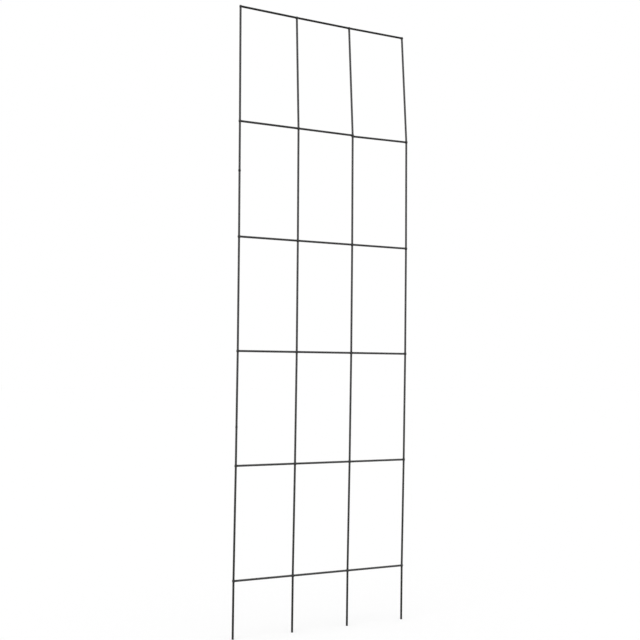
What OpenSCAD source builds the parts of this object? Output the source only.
// Espalier frame: a flat welded lattice of round coated wire, on which a tree or climber is trained.
// Long uprights run from the spikes in the soil to the top. Each rail is a row of short bars that are
// butt welded between the uprights, so that all wires lie in one layer.
// +X runs along the rails, +Y to the back and +Z up. The origin is midway between the spike tips.

/* [Wire] */
// Diameter of the wire over its coating: a 6 mm wire with a coat of 0.1 mm
wire_d = 6.2; // [3:0.1:8]
// Length of the bevel that shearing and coating leave on every free wire end
end_bevel = 0.7; // [0.2:0.1:1]

/* [Uprights] */
// Number of uprights
upright_count = 4; // [2:1:6]
// Distance between neighbouring uprights, axis to axis
upright_pitch = 197; // [100:1:300]
// Spike that goes into the soil, from its tip to the axis of the lowest rail
spike_len = 164; // [80:0.5:300]
// Height of the uprights' ends above the bars of the top rail
top_stub = 0.3; // [0.1:0.1:20]
// Number of the upright that stands out of line, counted from the left
shifted_upright_index = 3; // [1:1:6]
// Distance of that upright from its even place, to the right
upright_shift = -4.5; // [-10:0.5:10]

/* [Rails] */
// Number of rails
rail_count = 6; // [3:1:8]
// Distance between neighbouring rails in the lower rows, axis to axis
rail_pitch = 324; // [150:1:400]
// Number of upper rows
upper_rows = 2; // [0:1:2]
// Distance between neighbouring rails in the upper rows, axis to axis
upper_pitch = 329; // [150:1:400]
// Number of the rail with a bar that was welded on too low at its left end, counted from below
low_bar_rail_index = 5; // [1:1:8]
// Number of the bay of that bar, counted from the left
low_bar_bay_index = 3; // [1:1:5]
// Drop of that bar's left end
low_bar_drop = 3; // [0:0.5:4]

/* [Welds] */
// Reach of the weld bead past the side of the upright
weld_bulge = 1.4; // [0.5:0.1:2.5]
// Reach of the weld bead above and below the bars
weld_lap = 0.8; // [0.4:0.1:2]
// Thickness of the weld bead at its upper and lower edge
weld_edge = 0.2; // [0.1:0.05:0.4]
// Gap that the weld fills between an upright and the end of a bar
root_gap = 0.15; // [0.05:0.05:0.5]

/* [Bow and lean] */
// Forward bow of the uprights between the lowest rail and the second rail from the top
bow = 6; // [0:0.5:20]
// Backward lean of the first upright at the top rail
lean_first = 5.5; // [0:0.5:40]
// Backward lean of the last upright at the top rail
lean_last = 29; // [0:0.5:60]
// Swelling of an upright where it is bent a little, inside each weld
bend_swell = 0.1; // [0.05:0.05:0.3]

/* [Hidden] */
$fn = 48;
wire_r = wire_d / 2;
bay_count = upright_count - 1;
lower_rows = rail_count - 1 - upper_rows;
lattice_w = bay_count * upright_pitch;

// Ball that rounds the corner of a bend, its reach along the wire, and how far the wires enter it
ball_r = wire_r + bend_swell;
ball_reach = sqrt(pow(ball_r, 2) - pow(wire_r, 2));
ball_entry = ball_reach / 2;

// Height and radius of a weld bead, and the rise of the arc that is its outline from edge to edge
weld_h = wire_d + 2 * weld_lap;
weld_r = wire_r + weld_bulge;
arc_rise = weld_bulge - weld_edge;

// Distance from the axis of an upright to the end of a bar
bar_inset = ball_r + root_gap;

// Heights above the top rail's axis: of the uprights' ends, and of the welds, which leave the bevels free
end_clear = 0.2;
top_end = wire_r + top_stub;
top_weld_end = min(weld_h / 2, top_end - end_bevel - end_clear);

coat_colour = "#3c3c3c";
weld_colour = "#383838";

function upright_name(i) = str("upright_", i);
function bar_name(k, j) = str("rail_", k, "_bar_", j);
function weld_name(k, i) = str("weld_rail", k, "_upright", i);

function is_top(k) = k == rail_count;

function upright_x(i) =
    (i - 1) * upright_pitch - lattice_w / 2 + (i == shifted_upright_index ? upright_shift : 0);

function rail_z(k) =
    spike_len + min(k - 1, lower_rows) * rail_pitch + max(k - 1 - lower_rows, 0) * upper_pitch;

// Share of the bow's height at rail k, and the bow there
function bow_share(k) = (rail_z(k) - rail_z(1)) / (rail_z(rail_count - 1) - rail_z(1));
function bow_y(k) = -bow * sin(180 * bow_share(k));

// Lean of upright i at the top rail, which grows less and less from the first upright to the last
function lean_y(i) = lean_first + (lean_last - lean_first) * sin(90 * (i - 1) / bay_count);

// Point of upright i's axis at rail k, or at the spike's tip where k is 0
function crossing(k, i) =
    k == 0 ? [upright_x(i), 0, 0] : [upright_x(i), is_top(k) ? lean_y(i) : bow_y(k), rail_z(k)];

// Stretch of upright i from rail k to the next one: its length, and its angle from the vertical
function rise(k, i) = crossing(k + 1, i) - crossing(k, i);
function rise_angle(k, i) = atan2(rise(k, i).y, rise(k, i).z);

// Angle of the weld at rail k, halfway between the two stretches that meet there
function weld_angle(k, i) =
    is_top(k) ? rise_angle(k - 1, i) : (rise_angle(k - 1, i) + rise_angle(k, i)) / 2;

// Height of the weld at rail k above the rail's axis
function weld_end(k) = is_top(k) ? top_weld_end : weld_h / 2;

// Turn of the weld's barrel about upright i, which brings the barrel's seam to the side of a bar
function seam_turn(i) = i == upright_count ? 180 : 0;

// Drop of the left end of the bar in bay j of rail k
function bar_drop(k, j) = k == low_bar_rail_index && j == low_bar_bay_index ? low_bar_drop : 0;

// Vector from upright to upright that the bar in bay j of rail k follows
function bar_start(k, j) = crossing(k, j) - [0, 0, bar_drop(k, j)];
function bar_run(k, j) = crossing(k, j + 1) - bar_start(k, j);

// Half profile of a wire along +Z, bevelled at the ends that are free
function wire_profile(length, free_start, free_end) = concat(
    [[0, 0]],
    free_start ? [[wire_r - end_bevel, 0], [wire_r, end_bevel]] : [[wire_r, 0]],
    free_end ? [[wire_r, length - end_bevel], [wire_r - end_bevel, length]] : [[wire_r, length]],
    [[0, length]]
);

// Round wire along +Z
module wire(length, free_start, free_end) {
    rotate_extrude()
        polygon(wire_profile(length, free_start, free_end));
}

// Stretch of upright i from rail k to the next one, or on to the free end at the top
module stretch(k, i) {
    start = k == 0 ? 0 : ball_entry;
    end = norm(rise(k, i)) + (is_top(k + 1) ? top_end : -ball_entry);
    translate(crossing(k, i))
        rotate([-rise_angle(k, i), 0, 0])
            translate([0, 0, start])
                wire(end - start, free_start = k == 0, free_end = is_top(k + 1));
}

// Bend of upright i at rail k
module bend(k, i) {
    translate(crossing(k, i))
        sphere(r = ball_r);
}

// Upright i: the spike, the stretches between the rails and the bends that join them
module upright(i) {
    color(coat_colour) {
        for (k = [0:rail_count - 1])
            stretch(k, i);
        for (k = [1:rail_count - 1])
            bend(k, i);
    }
}

// The part of upright i that a weld at rail k lies round
module upright_at(k, i) {
    stretch(k - 1, i);
    if (!is_top(k)) {
        bend(k, i);
        stretch(k, i);
    }
}

// Bar in bay j of rail k, cut square to fit between two uprights
module bar(k, j) {
    run = bar_run(k, j);
    color(coat_colour)
        translate(bar_start(k, j))
            rotate([0, acos(run.z / norm(run)), atan2(run.y, run.x)])
                translate([0, 0, bar_inset])
                    cylinder(d = wire_d, h = norm(run) - 2 * bar_inset);
}

// Barrel of weld metal about the Z axis, from the height top downwards
module weld_barrel(top, height) {
    arc_r = (pow(height / 2, 2) + pow(arc_rise, 2)) / (2 * arc_rise);
    translate([0, 0, top - height / 2])
        rotate_extrude()
            intersection() {
                translate([weld_r - arc_r, 0])
                    circle(r = arc_r);
                translate([0, -height / 2])
                    square([weld_r, height]);
            }
}

// Weld bead round upright i, which takes in the ends of the bars of rail k, down to a low one
module weld(k, i) {
    color(weld_colour)
        difference() {
            translate(crossing(k, i))
                rotate([-weld_angle(k, i), 0, 0])
                    rotate([0, 0, seam_turn(i)])
                        weld_barrel(weld_end(k), weld_end(k) + weld_h / 2 + bar_drop(k, i));
            upright_at(k, i);
            if (i > 1) bar(k, i - 1);
            if (i < upright_count) bar(k, i);
        }
}

for (i = [1:upright_count])
    upright(i);

for (k = [1:rail_count])
    for (j = [1:bay_count])
        bar(k, j);

for (k = [1:rail_count])
    for (i = [1:upright_count])
        weld(k, i);
